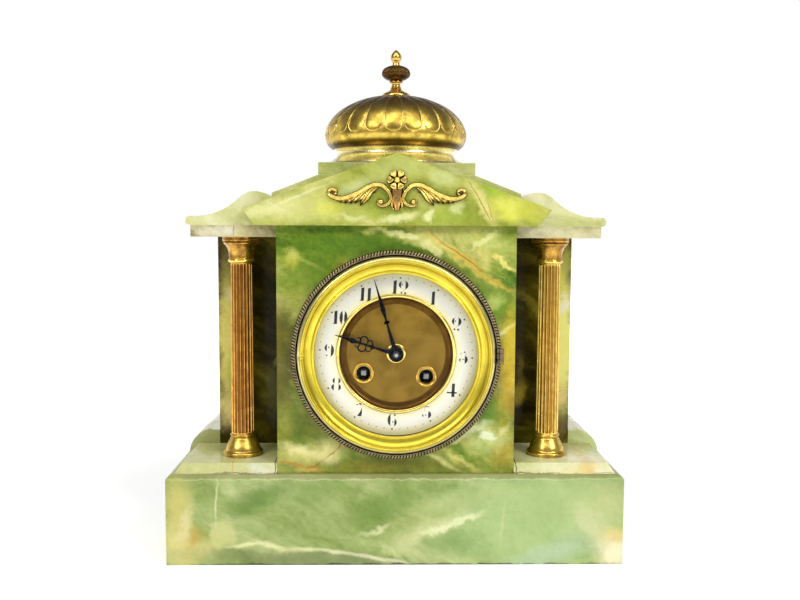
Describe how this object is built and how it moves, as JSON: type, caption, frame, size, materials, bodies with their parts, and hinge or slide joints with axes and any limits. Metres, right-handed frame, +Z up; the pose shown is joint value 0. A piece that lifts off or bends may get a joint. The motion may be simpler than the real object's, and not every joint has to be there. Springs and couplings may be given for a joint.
{
  "type": "mantel clock",
  "caption": "Portico mantel clock in green onyx with gilt columns, dome and finial, hinged bezel over an enamel dial, spring movement with pendulum and bell, hinged rear door.",
  "frame": {"origin": "middle of the underside of the base", "axes": "+Z up, the dial faces -Y, +X to the right seen from the front"},
  "size_m": [0.32, 0.1485, 0.3675],
  "materials": {
    "onyx": "polished green onyx with veins",
    "pale_onyx": "polished pale onyx",
    "dark_onyx": "polished dark green onyx",
    "gilt": "gilt, polished",
    "copper_gilt": "gilt, reddish, worn",
    "bronze": "brown patina",
    "enamel": "white, glossy",
    "steel": "brushed",
    "blued_steel": "blued steel",
    "glass": "clear"
  },
  "bodies": {
    "case": {"base_slabs": "onyx", "base_core": "pale_onyx", "plinths": "onyx", "foot_blocks": "onyx", "dial_panel": "onyx", "side_slabs": "dark_onyx", "wing_panels": "dark_onyx", "rear_panel": "dark_onyx", "lintels": "pale_onyx", "ears": "pale_onyx", "pediment": "onyx", "roof_block": "pale_onyx", "dome_plinth": "onyx", "dome_collar": "gilt", "dome": "gilt", "finial": "gilt", "tie_rods": "steel", "pediment_mount": "gilt", "left_column_foot": "gilt", "left_column_shaft": "copper_gilt", "left_column_capital": "gilt", "right_column_foot": "gilt", "right_column_shaft": "copper_gilt", "right_column_capital": "gilt", "bezel_seat": "bronze", "hinge_pins": "steel", "chapter_ring": "enamel", "dial_centre": "bronze", "front_plate": "gilt", "back_plate": "gilt", "plate_pillars": "gilt", "suspension_cock": "gilt", "bell": "gilt", "bell_stand": "steel", "rear_ring": "gilt", "strap_screws": "steel"},
    "bezel": {"bezel_door": "gilt", "bezel_glass": "glass"},
    "rear_door": {"rear_door": "gilt"},
    "minute_hand": {"cannon_pinion": "steel", "minute_hand": "blued_steel", "hand_collet": "gilt"},
    "hour_hand": {"hour_wheel": "gilt", "hour_hand": "blued_steel"},
    "minute_wheel": {"minute_wheel": "gilt"},
    "escape_wheel": {"escape_wheel": "gilt"},
    "third_wheel": {"third_wheel": "gilt"},
    "centre_arbor": {"centre_arbor": "steel"},
    "second_wheel": {"second_wheel": "gilt"},
    "going_barrel": {"going_barrel": "gilt", "going_mainspring": "blued_steel"},
    "going_arbor": {"going_arbor": "steel"},
    "pin_wheel": {"strike_pin_wheel": "gilt"},
    "strike_barrel": {"strike_barrel": "gilt", "strike_mainspring": "blued_steel"},
    "strike_arbor": {"strike_arbor": "steel"},
    "fly": {"strike_fly": "gilt"},
    "hammer": {"hammer": "steel"},
    "pendulum": {"pendulum": "gilt"},
    "anchor": {"anchor": "steel"}
  },
  "joints": [
    {"name": "bezel_hinge", "type": "hinge", "parent": "case", "child": "bezel", "pos_m": [0.0722, -0.0723, 0.148], "axis": [0, 0, 1], "range_deg": [0, 110]},
    {"name": "rear_door_hinge", "type": "hinge", "parent": "case", "child": "rear_door", "pos_m": [0.0545, 0.069, 0.148], "axis": [0, 0, -1], "range_deg": [0, 110]},
    {"name": "minute_turn", "type": "hinge", "parent": "case", "child": "minute_hand", "pos_m": [0, -0.06, 0.148], "axis": [0, 1, 0], "continuous": true},
    {"name": "hour_turn", "type": "hinge", "parent": "case", "child": "hour_hand", "pos_m": [0, -0.058, 0.148], "axis": [0, 1, 0], "continuous": true},
    {"name": "minute_wheel_turn", "type": "hinge", "parent": "case", "child": "minute_wheel", "pos_m": [0.00063, -0.051, 0.15998], "axis": [0, 1, 0], "continuous": true},
    {"name": "escape_turn", "type": "hinge", "parent": "case", "child": "escape_wheel", "pos_m": [0.00185, -0.032, 0.18331], "axis": [0, 1, 0], "continuous": true},
    {"name": "third_turn", "type": "hinge", "parent": "case", "child": "third_wheel", "pos_m": [0.00098, -0.03, 0.16669], "axis": [0, 1, 0], "continuous": true},
    {"name": "centre_turn", "type": "hinge", "parent": "case", "child": "centre_arbor", "pos_m": [0, -0.03, 0.148], "axis": [0, 1, 0], "continuous": true},
    {"name": "second_turn", "type": "hinge", "parent": "case", "child": "second_wheel", "pos_m": [0.0188, -0.025, 0.15527], "axis": [0, 1, 0], "continuous": true},
    {"name": "going_barrel_turn", "type": "hinge", "parent": "case", "child": "going_barrel", "pos_m": [0.02118, -0.03, 0.13187], "axis": [0, 1, 0], "continuous": true},
    {"name": "going_wind", "type": "hinge", "parent": "case", "child": "going_arbor", "pos_m": [0.02118, -0.05, 0.13187], "axis": [0, 1, 0], "range_deg": [0, 1980]},
    {"name": "pin_wheel_turn", "type": "hinge", "parent": "case", "child": "pin_wheel", "pos_m": [-0.02949, -0.02, 0.15621], "axis": [0, 1, 0], "continuous": true},
    {"name": "strike_barrel_turn", "type": "hinge", "parent": "case", "child": "strike_barrel", "pos_m": [-0.02275, -0.03, 0.13417], "axis": [0, 1, 0], "continuous": true},
    {"name": "strike_wind", "type": "hinge", "parent": "case", "child": "strike_arbor", "pos_m": [-0.02275, -0.05, 0.13417], "axis": [0, 1, 0], "range_deg": [0, 1980]},
    {"name": "fly_turn", "type": "hinge", "parent": "case", "child": "fly", "pos_m": [-0.02529, -0.025, 0.16914], "axis": [0, 1, 0], "continuous": true},
    {"name": "hammer_lift", "type": "hinge", "parent": "case", "child": "hammer", "pos_m": [-0.04374, 0, 0.14429], "axis": [0, 1, 0], "range_deg": [-12, 0]},
    {"name": "pendulum_swing", "type": "hinge", "parent": "case", "child": "pendulum", "pos_m": [0.0024, 0.0006, 0.1938], "axis": [0, 1, 0], "range_deg": [-4, 4]},
    {"name": "anchor_rock", "type": "hinge", "parent": "case", "child": "anchor", "pos_m": [0.0024, -0.03, 0.1938], "axis": [0, 1, 0], "range_deg": [-4, 4]}
  ],
  "couplings": [
    {"joint": "hour_turn", "follows": "minute_turn", "ratio": 0.083333},
    {"joint": "minute_wheel_turn", "follows": "minute_turn", "ratio": -0.33333},
    {"joint": "third_turn", "follows": "centre_turn", "ratio": -12},
    {"joint": "escape_turn", "follows": "centre_turn", "ratio": 144},
    {"joint": "second_turn", "follows": "centre_turn", "ratio": -0.16667},
    {"joint": "going_barrel_turn", "follows": "centre_turn", "ratio": 0.027778},
    {"joint": "strike_barrel_turn", "follows": "pin_wheel_turn", "ratio": -0.14286},
    {"joint": "fly_turn", "follows": "pin_wheel_turn", "ratio": -7.5},
    {"joint": "anchor_rock", "follows": "pendulum_swing", "ratio": 1}
  ]
}
